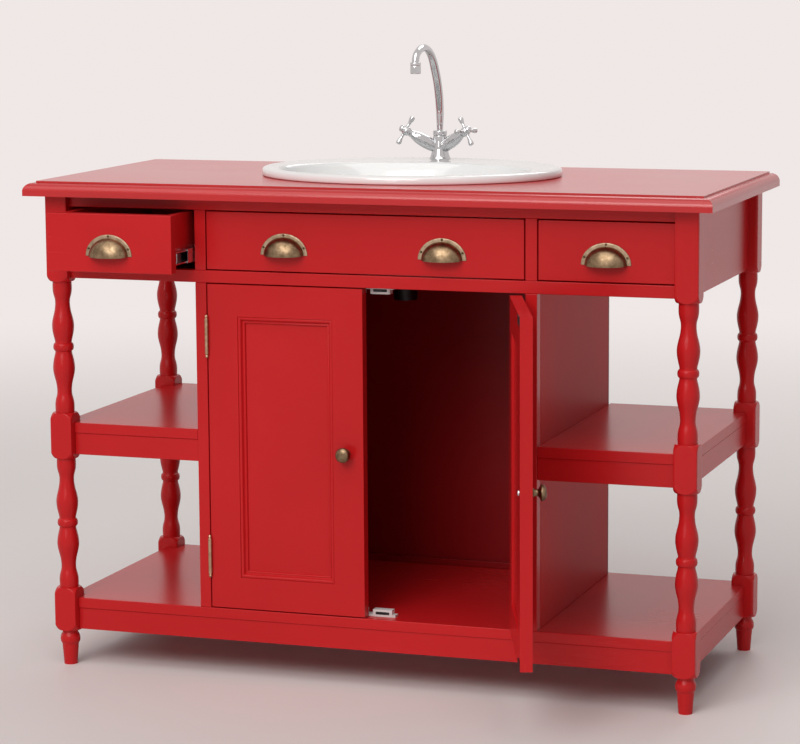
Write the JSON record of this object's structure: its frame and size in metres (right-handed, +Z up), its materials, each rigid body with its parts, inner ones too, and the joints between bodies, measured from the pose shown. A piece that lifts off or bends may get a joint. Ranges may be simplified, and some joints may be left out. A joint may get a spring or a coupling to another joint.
{
  "type": "bathroom vanity unit",
  "caption": "Freestanding painted vanity unit on turned posts with an inset oval basin, a swan-neck tap, a doored cabinet, drawers and open side shelves.",
  "frame": {"origin": "on the floor, under the middle of the unit as stored with a door and a drawer open", "axes": "+X to the right along the front, +Y to the wall behind, +Z up; the front faces -Y"},
  "size_m": [1.2, 0.7567, 1.0728],
  "materials": {
    "red_paint": "satin red paint on wood",
    "antique_brass": "antique, dark in the hollows",
    "zinc_steel": "bright zinc plate",
    "catch_plastic": "pale grey",
    "basin_glaze": "white glaze",
    "tap_chrome": "polished"
  },
  "bodies": {
    "unit": {"countertop": "red_paint", "front_left_post": "red_paint", "front_right_post": "red_paint", "back_left_post": "red_paint", "back_right_post": "red_paint", "front_top_rail": "red_paint", "front_drawer_rail": "red_paint", "frame_stiles": "red_paint", "side_aprons": "red_paint", "back_apron": "red_paint", "counter_blocks": "red_paint", "cabinet_sides": "red_paint", "cabinet_back": "red_paint", "bottom_board": "red_paint", "bottom_rails": "red_paint", "side_shelves": "red_paint", "shelf_rails": "red_paint", "centre_front": "red_paint", "centre_front_cleats": "red_paint", "centre_front_pulls": "antique_brass", "slide_bearers": "red_paint", "slide_outer_members": "zinc_steel", "hinge_frame_leaves": "antique_brass", "magnetic_catches": "catch_plastic", "basin": "basin_glaze", "waste_body": "tap_chrome", "tap_body": "tap_chrome"},
    "left_door": {"left_door_frame": "red_paint", "left_door_panel": "red_paint", "left_door_moulding": "red_paint", "left_door_knob": "antique_brass", "left_door_hinge_leaves": "antique_brass", "left_door_strikes": "zinc_steel"},
    "left_drawer": {"left_drawer_front": "red_paint", "left_drawer_box": "red_paint", "left_drawer_bottom": "red_paint", "left_drawer_pull": "antique_brass", "left_slide_inner": "zinc_steel"},
    "left_slide_middle": {"left_slide_middle": "zinc_steel"},
    "right_door": {"right_door_frame": "red_paint", "right_door_panel": "red_paint", "right_door_moulding": "red_paint", "right_door_knob": "antique_brass", "right_door_hinge_leaves": "antique_brass", "right_door_strikes": "zinc_steel"},
    "right_drawer": {"right_drawer_front": "red_paint", "right_drawer_box": "red_paint", "right_drawer_bottom": "red_paint", "right_drawer_pull": "antique_brass", "right_slide_inner": "zinc_steel"},
    "right_slide_middle": {"right_slide_middle": "zinc_steel"},
    "spout": {"tap_spout": "tap_chrome", "tap_aerator": "tap_chrome"},
    "hot_handle": {"hot_handle": "tap_chrome"},
    "cold_handle": {"cold_handle": "tap_chrome"},
    "waste_plug": {"waste_plug": "tap_chrome"}
  },
  "joints": [
    {"name": "left_door_hinge", "type": "hinge", "parent": "unit", "child": "left_door", "pos_m": [-0.28, -0.108, 0.4], "axis": [0, 0, -1], "range_deg": [0, 160]},
    {"name": "right_door_hinge", "type": "hinge", "parent": "unit", "child": "right_door", "pos_m": [0.28, -0.108, 0.4], "axis": [0, 0, 1], "range_deg": [-110, 50]},
    {"name": "left_drawer_slide", "type": "slide", "parent": "unit", "child": "left_drawer", "axis": [0, -1, 0], "range_m": [-0.094, 0.236]},
    {"name": "left_slide_middle_slide", "type": "slide", "parent": "unit", "child": "left_slide_middle", "axis": [0, -1, 0], "range_m": [-0.047, 0.118]},
    {"name": "right_drawer_slide", "type": "slide", "parent": "unit", "child": "right_drawer", "axis": [0, -1, 0], "range_m": [0, 0.33]},
    {"name": "right_slide_middle_slide", "type": "slide", "parent": "unit", "child": "right_slide_middle", "axis": [0, -1, 0], "range_m": [0, 0.165]},
    {"name": "spout_swivel", "type": "hinge", "parent": "unit", "child": "spout", "pos_m": [0, 0.3115, 0.9], "axis": [0, 0, 1], "range_deg": [-60, 60]},
    {"name": "hot_valve", "type": "hinge", "parent": "unit", "child": "hot_handle", "pos_m": [0, 0.3115, 0.882], "axis": [-0.7912, -0.3522, 0.5], "range_deg": [0, 90]},
    {"name": "cold_valve", "type": "hinge", "parent": "unit", "child": "cold_handle", "pos_m": [0, 0.3115, 0.882], "axis": [0.7912, -0.3522, 0.5], "range_deg": [-90, 0]},
    {"name": "plug_lift", "type": "slide", "parent": "unit", "child": "waste_plug", "axis": [0, 0, 1], "range_m": [-0.008, 0]}
  ],
  "couplings": [
    {"joint": "left_slide_middle_slide", "follows": "left_drawer_slide", "ratio": 0.5},
    {"joint": "right_slide_middle_slide", "follows": "right_drawer_slide", "ratio": 0.5}
  ]
}
